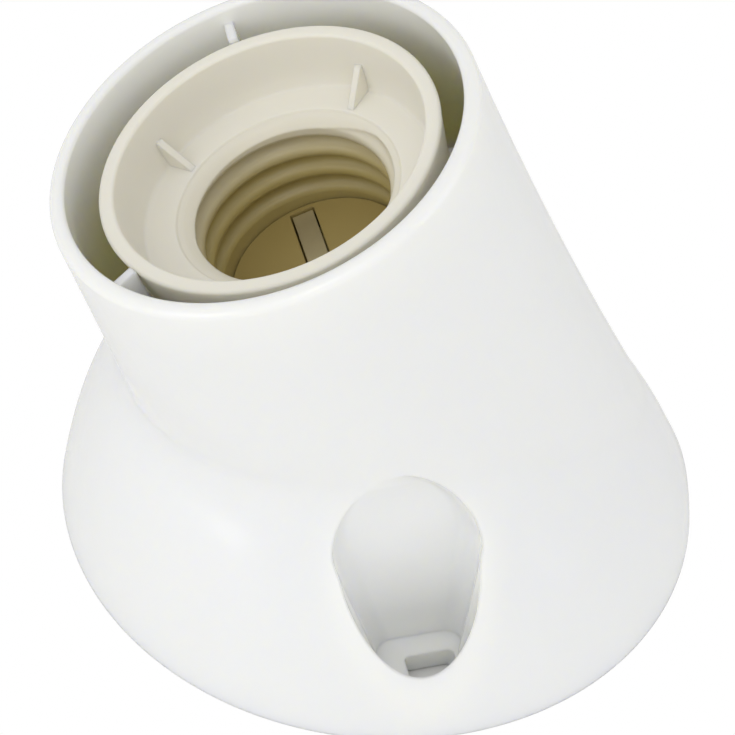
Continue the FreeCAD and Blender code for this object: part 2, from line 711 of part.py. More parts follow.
def centre_contact():
    """Tongue across the floor, leg down through the carrier and riveted ear."""
    body = doc.addObject("PartDesign::Body", "centre_contact")
    leg_inner = "Sizes.leg_radius - Sizes.leaf_thickness"
    over = "Sizes.floor_rise - Sizes.insert_length - Sizes.tongue_sink"
    under = f"{over} - Sizes.leaf_thickness"
    strip = profile_sketch(body, "YZ_Plane", "CentreStrip", [
        ("-Sizes.tongue_tip", over),
        ("Sizes.leg_radius", over),
        ("Sizes.leg_radius", leaf_bottom()),
        (leg_inner, leaf_bottom()),
        (leg_inner, under),
        ("-Sizes.tongue_tip", under),
    ])
    pad(body, "CentrePad", strip, "Sizes.leaf_width", True)
    pad(body, "CentreEar", ear_sketch(body, "CentreEarSketch", leg_inner + " + 0.2"),
        "Sizes.leaf_thickness")
    body.Placement = lamp_placement()
    return body


def shell_contact():
    """Side leaf with a bump into the thread, built on +y and turned to -y."""
    body = doc.addObject("PartDesign::Body", "shell_contact")
    outer = "Sizes.side_leg_radius"
    inner = "Sizes.side_leg_radius - Sizes.leaf_thickness"
    tip, bump, root = (f"Sizes.side_{part}_rise - Sizes.insert_length"
                       for part in ("tip", "bump", "root"))
    strip = profile_sketch(body, "YZ_Plane", "SideStrip", [
        (f"{inner} - 0.3", tip),
        (f"{outer} - 0.3", tip),
        ("Sizes.side_bump_radius + Sizes.leaf_thickness", bump),
        (outer, root),
        (outer, leaf_bottom()),
        (inner, leaf_bottom()),
        (inner, root),
        ("Sizes.side_bump_radius", bump),
    ])
    pad(body, "SidePad", strip, "Sizes.leaf_width", True)
    pad(body, "SideEar", ear_sketch(body, "SideEarSketch", inner + " + 0.2"),
        "Sizes.leaf_thickness")
    body.Placement = lamp_placement(180)
    return body


# ---------------------------------------------------------------- terminals and screws


def along_x():
    return FreeCAD.Rotation(Vector(0, 1, 0), 90)


def along_y():
    return FreeCAD.Rotation(Vector(1, 0, 0), -90)


def terminal(name, turn):
    """Brass block with wire hole, clamp screw bore and rivet hole."""
    y = "Sizes.terminal_y - Sizes.terminal_size / 2"
    clamp_x = f"{TERMINAL_INNER} + Sizes.clamp_offset"
    block = box(f"{name}Block", "Sizes.terminal_size", "Sizes.terminal_size",
                "Sizes.terminal_height", TERMINAL_INNER, y,
                f"-{PLATE_UNDER} - Sizes.terminal_height")
    wire = cylinder(f"{name}Wire", "Sizes.wire_radius", "Sizes.terminal_size + 2",
                    clamp_x, f"{y} - 1", f"-{PLATE_UNDER} - Sizes.wire_drop", along_y())
    bore = cylinder(f"{name}Bore", "Sizes.clamp_radius + Sizes.clamp_clear",
                    "Sizes.terminal_height - Sizes.wire_drop + Sizes.wire_radius + 1",
                    clamp_x, "Sizes.terminal_y",
                    f"-{PLATE_UNDER} - Sizes.terminal_height - 1")
    rivet = cylinder(f"{name}RivetHole", "Sizes.rivet_radius + Sizes.rivet_seat_clear",
                     "Sizes.rivet_grip + 0.1 + Sizes.ear_side_gap", "Sizes.leaf_width / 2",
                     "Sizes.rivet_y", f"-{PLATE_UNDER} - Sizes.rivet_drop", along_x())
    node = cut(name, block, fuse(f"{name}Cuts", [wire, bore, rivet]))
    node.Placement = lamp_placement(turn)
    return node


def rivet(name, turn):
    """Rivet that carries a contact's ear on its terminal."""
    ear_face = "Sizes.leaf_width / 2 - Sizes.leaf_thickness - Sizes.ear_side_gap"
    place = ("Sizes.rivet_y", f"-{PLATE_UNDER} - Sizes.rivet_drop", along_x())
    head = cylinder(f"{name}Head", "Sizes.rivet_head_radius", "Sizes.rivet_head_height",
                    f"{ear_face} - Sizes.rivet_head_height", *place)
    shank = cylinder(f"{name}Shank", "Sizes.rivet_radius",
                     "2 * Sizes.ear_side_gap + Sizes.leaf_thickness + Sizes.rivet_grip",
                     ear_face, *place)
    node = fuse(name, [head, shank])
    node.Placement = lamp_placement(turn)
    return node


def slotted_screw(name, shank_radius, shank_length, head_radius, head_height):
    """Screw pointing up from its head; origin where the head meets the shank."""
    body = doc.addObject("PartDesign::Body", f"{name}Turned")
    chamfer = "0.3"
    sketch = profile_sketch(body, "XZ_Plane", f"{name}Profile", [
        ("0", f"-{head_height}"),
        (f"{head_radius} - {chamfer}", f"-{head_height}"),
        (head_radius, f"-{head_height} + {chamfer}"),
        (head_radius, "0"),
        (shank_radius, "0"),
        (shank_radius, f"{shank_length} - {chamfer}"),
        (f"{shank_radius} - {chamfer}", shank_length),
        ("0", shank_length),
    ])
    revolve(body, f"{name}Revolution", sketch)
    slot = box(f"{name}Slot", f"2 * {head_radius} + 2", "Sizes.driver_slot",
               "Sizes.driver_slot_depth + 1", f"-{head_radius} - 1", "-Sizes.driver_slot / 2",
               f"-{head_height} - 1")
    return cut(name, body, slot)


def clamp_screw(name, turn):
    node = slotted_screw(
        name, "Sizes.clamp_radius",
        "(Sizes.terminal_height - Sizes.wire_drop + Sizes.wire_radius + Sizes.clamp_head_gap"
        " - Sizes.clamp_tip_gap)",
        "Sizes.clamp_head_radius", "Sizes.clamp_head_height")
    x = size("leaf_width") / 2 + size("ear_side_gap") + size("clamp_offset")
    z = (-size("insert_length") - size("plate_thickness") - size("terminal_height")
         - size("clamp_head_gap"))
    seat = FreeCAD.Placement(Vector(x, size("terminal_y"), z), FreeCAD.Rotation())
    node.Placement = lamp_placement(turn) * seat
    return node


def carrier_screw(name, turn):
    node = slotted_screw(name, "Sizes.fixing_shank_radius", "Sizes.fixing_screw_length",
                         "Sizes.fixing_head_radius", "Sizes.fixing_head_height")
    z = -size("insert_length") - size("plate_thickness")
    seat = FreeCAD.Placement(Vector(size("fixing_radius"), 0, z), FreeCAD.Rotation())
    node.Placement = lamp_placement(turn) * seat
    return node


# ---------------------------------------------------------------- build and export


def build():
    nodes = [
        housing(), thread_insert(), contact_carrier(), centre_contact(), shell_contact(),
    ]
    for label, turn in (("line", 0), ("neutral", 180)):
        nodes.append(terminal(f"{label}_terminal", turn))
        nodes.append(rivet(f"{label}_rivet", turn))
        nodes.append(clamp_screw(f"{label}_screw", turn))
    for label, turn in (("a", 0), ("b", 180)):
        nodes.append(carrier_screw(f"carrier_screw_{label}", turn))
    doc.recompute()
    return nodes


def check(nodes):
    """Stop on any failed feature or broken solid."""
    for item in doc.Objects:
        if "Invalid" in item.State or "Error" in item.State:
            raise RuntimeError(f"{item.Name} failed: {item.State}")
    for node in nodes:
        if node.Shape.isNull() or not node.Shape.isValid() or not node.Shape.Solids:
            raise RuntimeError(f"{node.Name} has no valid solid")


def export(nodes):
    os.makedirs("parts", exist_ok=True)
    for node in nodes:
        node.Label = node.Name
        node.Shape.exportStep(f"parts/{node.Name}.step")
        print(f"{node.Name}: {node.Shape.Volume:.1f} mm3, {len(node.Shape.Solids)} solid(s)")


PARTS = build()
check(PARTS)
export(PARTS)
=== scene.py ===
"""Looks, light and camera for the angled lamp holder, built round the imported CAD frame."""
import math

import bmesh
import bpy
import numpy as np
from mathutils import Matrix, Vector


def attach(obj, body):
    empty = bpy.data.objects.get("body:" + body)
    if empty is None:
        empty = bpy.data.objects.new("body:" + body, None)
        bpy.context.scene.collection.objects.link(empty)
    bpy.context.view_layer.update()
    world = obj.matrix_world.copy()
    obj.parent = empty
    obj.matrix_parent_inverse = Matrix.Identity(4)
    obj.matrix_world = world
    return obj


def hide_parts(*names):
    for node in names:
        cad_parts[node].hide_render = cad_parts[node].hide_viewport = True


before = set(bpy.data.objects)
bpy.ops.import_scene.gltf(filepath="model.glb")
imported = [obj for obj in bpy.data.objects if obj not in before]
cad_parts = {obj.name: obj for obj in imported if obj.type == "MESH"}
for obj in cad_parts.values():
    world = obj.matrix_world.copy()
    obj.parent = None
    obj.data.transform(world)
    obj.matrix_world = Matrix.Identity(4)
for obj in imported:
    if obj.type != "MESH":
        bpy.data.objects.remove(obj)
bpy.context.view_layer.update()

MM = 0.001

# Lamp frame: origin at the centre of the insert's rim, z along the lamp and out of the mouth.
TILT = math.radians(21.4)
RIM_CENTRE = np.array([-18.3, 0.0, 61.6])
LAMP_X = np.array([math.cos(TILT), 0.0, math.sin(TILT)])
LAMP_Y = np.array([0.0, 1.0, 0.0])
LAMP_Z = np.array([-math.sin(TILT), 0.0, math.cos(TILT)])

# Housing, mm
LIP_RISE = 2.7
LIP_RADIUS = 26.5
NECK_TAPER = 0.0644
NECK_FLARE = 0.000353
NECK_BEND = 0.00029
BASE_RADIUS = 44.15
DOME_HEIGHT = 41.34
DOME_LOW_POWER = 1.267
DOME_HIGH_POWER = 2.118
DOME_LEAN = 0.266
DOME_LEAN_START = 6.0
WALL = 2.2
LIP_WALL = 2.0
LIP_ROUND = 1.0
LIP_INNER_ROUND = 0.5
CREASE_SOFT = 1.9
CREASE_SOFT_BACK = 0.5
CREASE_SOFT_SIDES = 5.0

# Fixing recesses, mm
RECESS_FLOOR = 3.2
RECESS_TOP = 34.9
RECESS_VAULT = 22.5
RECESS_VAULT_BEND = 0.95
RECESS_OPEN_HALF = 5.7
RECESS_FLARE = 0.182
RECESS_OPEN_X = -4.4
RECESS_OPEN_LEAN = 0.12
RECESS_REAR_HALF = 5.9
RECESS_REAR_X = -3.3
RECESS_REAR_X_LEAN = 0.16
RECESS_REAR = 30.2
RECESS_REAR_LEAN = 0.064
RECESS_FRONT = 34.0
RECESS_CORNER = 2.6
SLOT_X = -2.5
SLOT_Y = 35.2
SLOT_HALF_LENGTH = 3.3
SLOT_HALF_WIDTH = 1.9
SLOT_CORNER = 0.7

# Fittings on the housing's inner side, mm from the lamp axis and below the insert's rim
RIB_ANGLES = (88, 208)
RIB_CLEAR = 0.15
RIB_HALF_WIDTH = 0.6
RIB_FOOT = 8.7
RIB_LENGTH = 9.0
BOSS_X = 19.5
BOSS_RADIUS = 3.6
BOSS_FOOT = 22
BOSS_LENGTH = 8
WEB_REACH = 31.0
WEB_HALF_WIDTH = 2

# Insert, mm below its rim and from its axis
RIM_RADIUS = 21.2
RIM_BORE = 19.25
CUP_FOOT = 19.9
CUP_FLOOR = 18.35
SHELF = 7.7
SHELF_UNDER = 9.7
ENTRY_RADIUS = 14.1
ENTRY_DEPTH = 8.9
CREST = 12.2
ROOT = 13.35
THREAD_ROUND = 1.025
PITCH = 3.629
GROOVE_START = 19.5
GROOVE_TURNS = 3.1
TUBE_RADIUS = 15.4
INSERT_LENGTH = 24.0
RIM_ROUND = 0.45
SHELF_FILLET = 0.4
ENTRY_ROUND = 0.3
CREST_FLAT = 0.3
GROOVE_FADE = 0.1
CONTACT_SLOT_HALF_WIDTH = 2
CONTACT_SLOT_OUTER = 16.4
CONTACT_SLOT_INNER = 10.7
CONTACT_SLOT_FOOT = 26
CONTACT_SLOT_LENGTH = 11.6
GUSSET_FIRST_ANGLE = 42
GUSSET_INNER = 14.7
GUSSET_OUTER = 18.9
GUSSET_HEIGHT = 3.8
GUSSET_TIP = 0.5
GUSSET_WIDTH = 0.95
GUSSET_SINK = 0.3
LUG_INNER = 14.6
LUG_HEIGHT = 1.98

# Photo's viewpoint, degrees and mm
CAMERA_AZIMUTH = -18.87
CAMERA_ELEVATION = 45.52
CAMERA_ROLL = 5.67
CAMERA_RIGHT = -1.50
CAMERA_UP = 15.21
CAMERA_BACK = 282.5
CAMERA_LENS = 97.96
CAMERA_SENSOR = 36

# Depth over which the painted shade and bounce light down a bore fade back, mm
PAINTED_SHADING_FADE = 4.0


# ---------------------------------------------------------------- meshes


def to_row(points):
    """Lamp frame to row frame, mm."""
    points = np.asarray(points, float)
    return (RIM_CENTRE + points[..., :1] * LAMP_X + points[..., 1:2] * LAMP_Y
            + points[..., 2:3] * LAMP_Z)


def new_object(name, verts, faces):
    """Mesh object from points in mm, with outward normals."""
    mesh = bpy.data.meshes.new(name)
    mesh.from_pydata((np.asarray(verts).reshape(-1, 3) * MM).tolist(), [], faces)
    work = bmesh.new()
    work.from_mesh(mesh)
    bmesh.ops.recalc_face_normals(work, faces=work.faces)
    work.to_mesh(mesh)
    work.free()
    obj = bpy.data.objects.new(name, mesh)
    bpy.context.scene.collection.objects.link(obj)
    return obj


def ring_faces(rows, around, closed):
    """Quads between rings of points; a closed stack also joins the last ring to the first."""
    faces = []
    for row in range(rows if closed else rows - 1):
        low = row * around
        high = ((row + 1) % rows) * around
        for col in range(around):
            after = (col + 1) % around
            faces.append((low + col, low + after, high + after, high + col))
    return faces


def ring_solid(name, rings, closed=False):
    """Solid from rings of points, capped at both ends unless the stack is closed."""
    rows, around = rings.shape[:2]
    faces = ring_faces(rows, around, closed)
    if not closed:
        faces.append(tuple(range(around))[::-1])
        faces.append(tuple(range((rows - 1) * around, rows * around)))
    return new_object(name, rings, faces)


def prism(name, outline, start, direction):
    """Solid from a flat outline in the lamp frame, moved along a direction, mm."""
    low = np.asarray(outline, float) + np.asarray(start, float)
    high = low + np.asarray(direction, float)
    return ring_solid(name, np.stack([to_row(low), to_row(high)]))


def boolean(target, tools, operation):
    """Applies one exact boolean after another and removes the tools."""
    for tool in tools:
        step = target.modifiers.new("cut", "BOOLEAN")
        step.operation = operation
        step.solver = "EXACT"
        step.object = tool
        graph = bpy.context.evaluated_depsgraph_get()
        result = bpy.data.meshes.new_from_object(target.evaluated_get(graph))
        target.modifiers.clear()
        target.data = result
        bpy.data.objects.remove(tool)
    return target


def smooth(obj, angle=32):
    """Smooth shading with sharp edges above an angle in degrees."""
    obj.data.polygons.foreach_set("use_smooth", [True] * len(obj.data.polygons))
    obj.data.set_sharp_from_angle(angle=math.radians(angle))


# ---------------------------------------------------------------- housing form


def lamp_coordinates(points):
    """Row frame to lamp frame, mm."""
    away = points - RIM_CENTRE
    return away @ LAMP_X, away @ LAMP_Y, away @ LAMP_Z


def neck_distance(points, inset):
    """Signed distance from the neck's side, positive outside."""
    x, y, z = lamp_coordinates(points)
    below = np.maximum(LIP_RISE - z, 0)
    radius = LIP_RADIUS + NECK_TAPER * below + NECK_FLARE * below ** 2
    if inset:
        radius = radius - LIP_WALL - (WALL - LIP_WALL) * np.minimum(below / 30, 1)
        into = np.clip(LIP_INNER_ROUND - below, 0, LIP_INNER_ROUND)
        radius = radius + LIP_INNER_ROUND - np.sqrt(LIP_INNER_ROUND ** 2 - into ** 2)
    else:
        into = np.clip(LIP_ROUND - below, 0, LIP_ROUND)
        radius = radius - LIP_ROUND + np.sqrt(LIP_ROUND ** 2 - into ** 2)
    return np.hypot(x - NECK_BEND * below ** 2, y) - radius


def base_distance(points, inset):
    """Signed distance from the dome's side, positive outside."""
    z = np.clip(points[..., 2], 0, DOME_HEIGHT - 0.01)
    rise = 1 - (z / DOME_HEIGHT) ** DOME_LOW_POWER
    radius = BASE_RADIUS * rise ** (1 / DOME_HIGH_POWER)
    middle = -DOME_LEAN * z ** 2 / (z + DOME_LEAN_START)
    side = np.hypot(points[..., 0] - middle, points[..., 1]) - radius
    return np.where(points[..., 2] > DOME_HEIGHT - 0.01, 50.0, side) + (WALL if inset else 0)


def form_distance(points, inset, soft):
    """Neck and dome joined with a soft crease."""
    neck = neck_distance(points, inset)
    base = base_distance(points, inset)
    blend = np.clip(0.5 + 0.5 * (base - neck) / soft, 0, 1)
    return base * (1 - blend) + neck * blend - soft * blend * (1 - blend)


def form_rings(inset, rows, around):
    """Rings of the housing's side on planes that turn from the base up to the lip.

    The mounting plane and the lip's plane meet in a line beyond the lean side, and every
    ring lies in a plane through that line.
    """
    line_x = RIM_CENTRE[0] - (RIM_CENTRE[2] * math.cos(TILT) + LIP_RISE) / math.sin(TILT)
    lip_centre = RIM_CENTRE + LIP_RISE * LAMP_Z
    reach_low = -line_x
    reach_high = (lip_centre[0] - line_x) / math.cos(TILT)
    near_lip = math.radians(0.42)
    turns = np.concatenate([
        np.linspace(0, TILT - near_lip, rows),
        TILT - near_lip * np.cos(np.linspace(0, math.pi / 2, 14))[1:],
    ])
    angles = np.linspace(0, 2 * math.pi, around, endpoint=False)
    turn, angle = np.meshgrid(turns, angles, indexing="ij")
    reach = reach_low + (reach_high - reach_low) * turn / TILT
    centre = np.stack([line_x + reach * np.cos(turn), 0 * turn, reach * np.sin(turn)], -1)
    ray = np.stack([np.cos(angle) * np.cos(turn), np.sin(angle), np.cos(angle) * np.sin(turn)],
                   -1)
    lean_side = (1 - np.cos(angle)) / 2
    soft = (CREASE_SOFT_BACK + CREASE_SOFT * lean_side ** 2
            + CREASE_SOFT_SIDES * np.abs(np.sin(angle)) ** 3)
    near = np.zeros_like(turn)
    far = np.full_like(turn, 60.0)
    for _ in range(40):
        middle = (near + far) / 2
        inside = form_distance(centre + middle[..., None] * ray, inset, soft) < 0
        near = np.where(inside, middle, near)
        far = np.where(inside, far, middle)
    return centre + near[..., None] * ray


def arc(centre, radius, start, end, steps):
    """Points of an arc, angles in degrees."""
    angles = np.radians(np.linspace(start, end, steps))
    return [(centre[0] + radius * math.cos(a), centre[1] + radius * math.sin(a)) for a in angles]


def recess_outline(height, growth, side):
    """Outline of a recess at a height, grown outwards by growth.

    The walls flare upwards from the floor and close to a vault at the top.
    """
    rise = height - RECESS_FLOOR
    over = max(height - RECESS_VAULT, 0) / (RECESS_TOP + growth - RECESS_VAULT)
    vault = math.sqrt(max(1 - over ** 2, 0.006))
    flare = RECESS_FLARE * min(rise, RECESS_VAULT - RECESS_FLOOR)
    open_half = (RECESS_OPEN_HALF + flare) * vault + growth
    open_x = RECESS_OPEN_X - RECESS_OPEN_LEAN * rise
    rear_half = (RECESS_REAR_HALF + flare) * vault
    corner = min(RECESS_CORNER, 0.8 * rear_half) + growth
    rear_half += growth
    rear_x = RECESS_REAR_X - RECESS_REAR_X_LEAN * rise
    rear = -RECESS_REAR + RECESS_REAR_LEAN * rise - RECESS_VAULT_BEND * over ** 4 + growth
    steps = np.linspace(0, 1, 11)[1:-1]
    blend = steps ** 2 * (3 - 2 * steps)
    side_y = -RECESS_FRONT + (rear - corner + RECESS_FRONT) * steps
    right_x = open_x + open_half + (rear_x + rear_half - open_x - open_half) * blend
    left_x = open_x - open_half + (rear_x - rear_half - open_x + open_half) * blend
    points = arc((open_x, -RECESS_FRONT), open_half, 180, 360, 48)
    points += list(zip(right_x, side_y))
    points += arc((rear_x + rear_half - corner, rear - corner), corner, 0, 90, 14)
    points += arc((rear_x - rear_half + corner, rear - corner), corner, 90, 180, 14)
    points += list(zip(left_x, side_y))[::-1]
    return np.array([(x, side * -y, height) for x, y in points])


def recess_solid(name, lowest, growth, side):
    """Recess from a lowest height to its vault, with rings closer together near the top."""
    top = RECESS_TOP + growth
    heights = np.concatenate([np.linspace(lowest, RECESS_VAULT, 24),
                              RECESS_VAULT + (top - RECESS_VAULT)
                              * np.sin(np.linspace(0, math.pi / 2, 22))[1:]])
    return ring_solid(name, np.stack([recess_outline(h, growth, side) for h in heights]))


def slot_solid(side):
    """Slot with rounded corners through a recess floor."""
    along = SLOT_HALF_LENGTH - SLOT_CORNER
    across = SLOT_HALF_WIDTH - SLOT_CORNER
    points = []
    for turn, (a, b) in enumerate(((1, 1), (-1, 1), (-1, -1), (1, -1))):
        centre = (SLOT_X + a * along, side * SLOT_Y + b * across)
        points += arc(centre, SLOT_CORNER, 90 * turn, 90 * turn + 90, 6)
    rings = [np.array([(x, y, z) for x, y in points]) for z in (-1, RECESS_FLOOR + 1)]
    return ring_solid("slot", np.stack(rings))


def gap_rib(angle):
    """Locating rib on the neck's bore, in the lamp frame."""
    inner, outer, half = RIM_RADIUS + RIB_CLEAR, LIP_RADIUS + 1, RIB_HALF_WIDTH
    across = np.array([-math.sin(angle), math.cos(angle), 0])
    along = np.array([math.cos(angle), math.sin(angle), 0])
    outline = [along * r + across * w
               for r, w in ((inner, -half), (outer, -half), (outer, half), (inner, half))]
    return prism("rib", outline, (0, 0, -RIB_FOOT), (0, 0, RIB_LENGTH))


def boss(side):
    """Boss for a carrier screw and its web, in the lamp frame."""
    outline = [(side * x, y, 0) for x, y in arc((BOSS_X, 0), BOSS_RADIUS, 34, 326, 24)]
    outline += [(side * WEB_REACH, -WEB_HALF_WIDTH, 0), (side * WEB_REACH, WEB_HALF_WIDTH, 0)]
    return prism("boss", outline, (0, 0, -BOSS_FOOT), (0, 0, BOSS_LENGTH))


def build_housing():
    """Housing as outer form less its hollow, pockets and slots."""
    outer = ring_solid("housing_body", form_rings(False, 104, 320))
    inner = form_rings(True, 60, 200)
    above = inner[-1:] + 2 * LAMP_Z
    below = inner[:1] - np.array([0, 0, 2.0])
    hollow = ring_solid("hollow", np.concatenate([below, inner, above]))
    fittings = [recess_solid("lining", -4, WALL, side) for side in (-1, 1)]
    fittings += [gap_rib(math.radians(angle)) for angle in RIB_ANGLES]
    fittings += [boss(side) for side in (-1, 1)]
    boolean(hollow, fittings, "DIFFERENCE")
    pockets = [recess_solid("pocket", RECESS_FLOOR, 0, side) for side in (-1, 1)]
    slots = [slot_solid(side) for side in (-1, 1)]
    boolean(outer, [hollow] + pockets + slots, "DIFFERENCE")
    smooth(outer, 30)
    return outer


# ---------------------------------------------------------------- insert form


def thread_radius(angle, depth):
    """Radius of the threaded bore at an angle and a depth."""
    turns = (GROOVE_START - depth) / PITCH - angle / (2 * math.pi)
    nearest = np.round(turns)
    off = np.abs(turns - nearest) * PITCH
    run = nearest + angle / (2 * math.pi)
    root_centre = ROOT - THREAD_ROUND
    crest_centre = CREST + THREAD_ROUND
    groove = root_centre + np.sqrt(np.maximum(THREAD_ROUND ** 2 - off ** 2, 0))
    away = PITCH / 2 - off
    crest = crest_centre - np.sqrt(np.maximum(THREAD_ROUND ** 2 - away ** 2, 0))
    radius = np.where(off < PITCH / 4, groove, np.where(away < CREST_FLAT, CREST, crest))
    lead_in = np.clip(run / GROOVE_FADE + 0.5, 0, 1)
    run_out = np.clip((GROOVE_TURNS - run) / GROOVE_FADE + 0.5, 0, 1)
    fade = lead_in * run_out
    return CREST + (radius - CREST) * fade


def insert_profile():
    """Radius and depth of each ring of the insert, starting down the bore."""
    rim_mid = (RIM_RADIUS + RIM_BORE) / 2
    profile = [(TUBE_RADIUS, INSERT_LENGTH)]
    profile += [(TUBE_RADIUS, d) for d in (20, 16, 12, SHELF_UNDER)]
    profile += [(17.5, SHELF_UNDER), (CUP_FOOT, SHELF_UNDER)]
    profile += [(CUP_FOOT + (RIM_RADIUS - CUP_FOOT) * s, SHELF_UNDER * (1 - s))
                for s in (0.3, 0.6, 0.85)]
    profile += [(RIM_RADIUS - RIM_ROUND + x, RIM_ROUND - y)
                for x, y in arc((0, 0), RIM_ROUND, 0, 90, 7)]
    profile += [(rim_mid, 0)]
    profile += [(RIM_BORE + RIM_ROUND + x, RIM_ROUND - y)
                for x, y in arc((0, 0), RIM_ROUND, 90, 180, 7)]
    profile += [(RIM_BORE + (CUP_FLOOR - RIM_BORE) * s, SHELF * s) for s in (0.3, 0.6, 0.9)]
    profile += [(CUP_FLOOR - SHELF_FILLET + x, SHELF - SHELF_FILLET + y)
                for x, y in arc((0, 0), SHELF_FILLET, 0, 90, 5)]
    profile += [(16.2, SHELF)]
    profile += [(ENTRY_RADIUS + ENTRY_ROUND - x, SHELF + ENTRY_ROUND - y)
                for x, y in arc((0, 0), ENTRY_ROUND, 90, 20, 5)]
    return np.array(profile)


def build_insert():
    """Insert with its rounded thread and the slot for the side contact."""
    around = 288
    angles = np.linspace(0, 2 * math.pi, around, endpoint=False)
    fixed = insert_profile()
    depths = np.linspace(SHELF + 0.4, INSERT_LENGTH, 130)
    angle, depth = np.meshgrid(angles, depths)
    cone = ENTRY_RADIUS + (CREST - ENTRY_RADIUS) * np.clip(
        (depth - SHELF) / (ENTRY_DEPTH - SHELF), 0, 1)
    bore = np.maximum(thread_radius(angle, depth), cone)
    radius = np.concatenate([np.repeat(fixed[:, :1], around, 1), bore])
    down = np.concatenate([np.repeat(fixed[:, 1:], around, 1), depth])
    turn = np.broadcast_to(angles, radius.shape)
    rings = np.stack([radius * np.cos(turn), radius * np.sin(turn), -down], -1)
    body = ring_solid("insert_body", to_row(rings), closed=True)
    half, outer, inner = CONTACT_SLOT_HALF_WIDTH, CONTACT_SLOT_OUTER, CONTACT_SLOT_INNER
    outline = [(-half, -outer, 0), (half, -outer, 0), (half, -inner, 0), (-half, -inner, 0)]
    slot = prism("contact_slot", outline, (0, 0, -CONTACT_SLOT_FOOT), (0, 0, CONTACT_SLOT_LENGTH))
    boolean(body, [slot], "DIFFERENCE")
    smooth(body, 35)
    return body


def build_gusset(index):
    """Triangular gusset between shelf and cup wall."""
    angle = math.radians(GUSSET_FIRST_ANGLE + 90 * index)
    along = np.array([math.cos(angle), math.sin(angle), 0])
    across = np.array([-math.sin(angle), math.cos(angle), 0]) * GUSSET_WIDTH
    up = np.array([0, 0, 1])
    foot = -SHELF - GUSSET_SINK
    top = -SHELF + GUSSET_HEIGHT
    corners = ((GUSSET_INNER, -SHELF + 0.05), (GUSSET_INNER, foot), (GUSSET_OUTER, foot),
               (GUSSET_OUTER, top), (GUSSET_OUTER - GUSSET_TIP, top))
    outline = [along * r + up * h for r, h in corners]
    gusset = prism(f"insert_gusset_{index}", outline, -across / 2, across)
    smooth(gusset)
    return gusset


def build_lug(index):
    """Lug at the insert's lower end, under a boss of the housing."""
    side = 1 - 2 * index
    outline = [(side * x, y, 0) for x, y in arc((BOSS_X, 0), BOSS_RADIUS, -90, 90, 20)]
    outline += [(side * LUG_INNER, BOSS_RADIUS, 0), (side * LUG_INNER, -BOSS_RADIUS, 0)]
    lug = prism(f"insert_lug_{index}", outline, (0, 0, -INSERT_LENGTH), (0, 0, LUG_HEIGHT))
    smooth(lug)
    return lug


# ---------------------------------------------------------------- materials


class Shader:
    """Small helper around a material's node tree."""

    def __init__(self, name):
        self.material = bpy.data.materials.new(name)
        self.material.use_nodes = True
        self.tree = self.material.node_tree
        self.surface = self.tree.nodes["Principled BSDF"]

    def add(self, kind, **values):
        node = self.tree.nodes.new(kind)
        for key, value in values.items():
            if key in node.inputs:
                node.inputs[key].default_value = value
            else:
                setattr(node, key, value)
        return node

    def link(self, source, target):
        self.tree.links.new(source, target)


def object_noise(shader, scale, detail=2.0):
    """Noise in the object's own space."""
    place = shader.add("ShaderNodeTexCoord")
    noise = shader.add("ShaderNodeTexNoise", Scale=scale, Detail=detail)
    shader.link(place.outputs["Object"], noise.inputs["Vector"])
    return noise


def painted_bore_shading(shader, colour, tint, start, end, stop, inside):
    """Painted shade and bounce light: colour that turns to a tint down a bore, in mm below the
    rim, and back after the stop.

    The bore's wall lies inside a radius that grows with the neck's taper.
    """
    place = shader.add("ShaderNodeTexCoord")
    away = shader.add("ShaderNodeVectorMath", operation="SUBTRACT")
    away.inputs[1].default_value = tuple(RIM_CENTRE * MM)
    height = shader.add("ShaderNodeVectorMath", operation="DOT_PRODUCT")
    height.inputs[1].default_value = tuple(LAMP_Z)
    shader.link(place.outputs["Object"], away.inputs[0])
    shader.link(away.outputs["Vector"], height.inputs[0])
    across = shader.add("ShaderNodeVectorMath", operation="CROSS_PRODUCT")
    across.inputs[1].default_value = tuple(LAMP_Z)
    radius = shader.add("ShaderNodeVectorMath", operation="LENGTH")
    limit = shader.add("ShaderNodeMath", operation="MULTIPLY_ADD")
    limit.inputs[1].default_value = -NECK_TAPER
    limit.inputs[2].default_value = inside * MM
    within = shader.add("ShaderNodeMath", operation="LESS_THAN")
    shader.link(away.outputs["Vector"], across.inputs[0])
    shader.link(across.outputs["Vector"], radius.inputs[0])
    shader.link(height.outputs["Value"], limit.inputs[0])
    shader.link(radius.outputs["Value"], within.inputs[0])
    shader.link(limit.outputs["Value"], within.inputs[1])
    factor = within.outputs["Value"]
    for begin, full in ((start, end), (stop + PAINTED_SHADING_FADE, stop)):
        depth = shader.add("ShaderNodeMapRange", interpolation_type="SMOOTHSTEP")
        depth.inputs["From Min"].default_value = -begin * MM
        depth.inputs["From Max"].default_value = -full * MM
        both = shader.add("ShaderNodeMath", operation="MULTIPLY")
        shader.link(height.outputs["Value"], depth.inputs["Value"])
        shader.link(factor, both.inputs[0])
        shader.link(depth.outputs["Result"], both.inputs[1])
        factor = both.outputs["Value"]
    mix = shader.add("ShaderNodeMix", data_type="RGBA")
    mix.inputs["B"].default_value = (*tint, 1)
    shader.link(colour, mix.inputs["A"])
    shader.link(factor, mix.inputs["Factor"])
    return mix.outputs["Result"]


